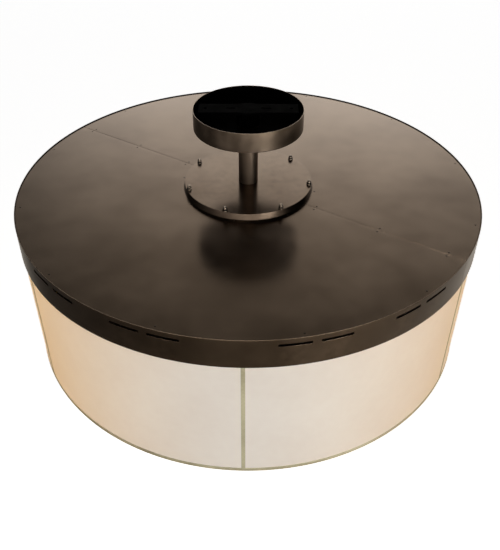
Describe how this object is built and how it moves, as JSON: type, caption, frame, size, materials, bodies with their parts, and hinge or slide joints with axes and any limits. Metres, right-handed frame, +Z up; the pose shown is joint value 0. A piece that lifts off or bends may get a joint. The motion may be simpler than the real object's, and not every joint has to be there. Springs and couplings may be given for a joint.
{
  "type": "drum ceiling light",
  "caption": "Large round semi-flush ceiling light: steel cap with slotted skirt over a paneled drum shade, on a short stem with a cup canopy.",
  "frame": {"origin": "middle of the ceiling bracket's top face, on the ceiling", "axes": "+Z up along the stem; the drum hangs below, in -Z"},
  "size_m": [1.219, 1.219, 0.65],
  "materials": {
    "bronze_enamel": "satin dark bronze, faintly mottled",
    "bronze_hardware": "glossy dark bronze",
    "black_steel": "flat black",
    "zinc_steel": "zinc plated",
    "antique_brass": "satin antique brass",
    "parchment": "smooth cream parchment laminate",
    "opal_acrylic": "opal, satin",
    "porcelain": "glazed",
    "frosted_glass": "frosted white"
  },
  "bodies": {
    "fixture": {"acorn_nut_1": "bronze_hardware", "acorn_nut_2": "bronze_hardware", "acorn_nut_3": "bronze_hardware", "acorn_nut_4": "bronze_hardware", "acorn_nut_5": "bronze_hardware", "acorn_nut_6": "bronze_hardware", "acorn_nut_7": "bronze_hardware", "bulb_1": "frosted_glass", "bulb_2": "frosted_glass", "bulb_3": "frosted_glass", "bulb_4": "frosted_glass", "bulb_5": "frosted_glass", "bulb_6": "frosted_glass", "cap_half_1": "bronze_enamel", "cap_half_2": "bronze_enamel", "ceiling_bracket": "black_steel", "diffuser_crossbar": "antique_brass", "hub_plate": "bronze_hardware", "lamp_spider": "bronze_enamel", "lampholder_1": "porcelain", "lampholder_2": "porcelain", "lampholder_3": "porcelain", "lampholder_4": "porcelain", "lampholder_5": "porcelain", "lampholder_6": "porcelain", "mounting_cover": "bronze_enamel", "seam_splice_1": "bronze_hardware", "seam_splice_2": "bronze_hardware", "shade_bottom_ring": "antique_brass", "shade_panel_1": "parchment", "shade_panel_2": "parchment", "shade_panel_3": "parchment", "shade_panel_4": "parchment", "shade_panel_5": "parchment", "shade_panel_6": "parchment", "shade_screw_1": "zinc_steel", "shade_screw_2": "zinc_steel", "shade_screw_3": "zinc_steel", "shade_screw_4": "zinc_steel", "shade_stile_1": "antique_brass", "shade_stile_2": "antique_brass", "shade_stile_3": "antique_brass", "shade_stile_4": "antique_brass", "shade_stile_5": "antique_brass", "shade_stile_6": "antique_brass", "shade_top_ring": "antique_brass", "skirt_half_1": "bronze_enamel", "skirt_half_2": "bronze_enamel", "skirt_joint_plate_1": "bronze_hardware", "skirt_joint_plate_2": "bronze_hardware", "stem": "bronze_enamel", "stem_cross_bolt": "black_steel", "stem_cross_nut": "black_steel", "stem_locknut": "zinc_steel"},
    "canopy": {"canopy": "bronze_enamel"},
    "collar": {"canopy_collar": "bronze_enamel"},
    "thumb_screw": {"collar_thumb_screw": "bronze_enamel"},
    "diffuser_1": {"diffuser_1": "opal_acrylic"},
    "diffuser_2": {"diffuser_2": "opal_acrylic"}
  },
  "joints": [
    {"name": "canopy_slide", "type": "slide", "parent": "fixture", "child": "canopy", "axis": [0, 0, -1], "range_m": [0, 0.13]},
    {"name": "collar_slide", "type": "slide", "parent": "fixture", "child": "collar", "axis": [0, 0, -1], "range_m": [0, 0.13]},
    {"name": "thumb_screw_turn", "type": "hinge", "parent": "collar", "child": "thumb_screw", "pos_m": [0, 0.03, -0.0591], "axis": [0, 1, 0], "range_deg": [0, 540]},
    {"name": "diffuser_1_lift", "type": "slide", "parent": "fixture", "child": "diffuser_1", "axis": [0, 0, 1], "range_m": [0, 0.08]},
    {"name": "diffuser_2_lift", "type": "slide", "parent": "fixture", "child": "diffuser_2", "axis": [0, 0, 1], "range_m": [0, 0.08]}
  ],
  "couplings": [
    {"joint": "collar_slide", "follows": "canopy_slide", "ratio": 1}
  ]
}
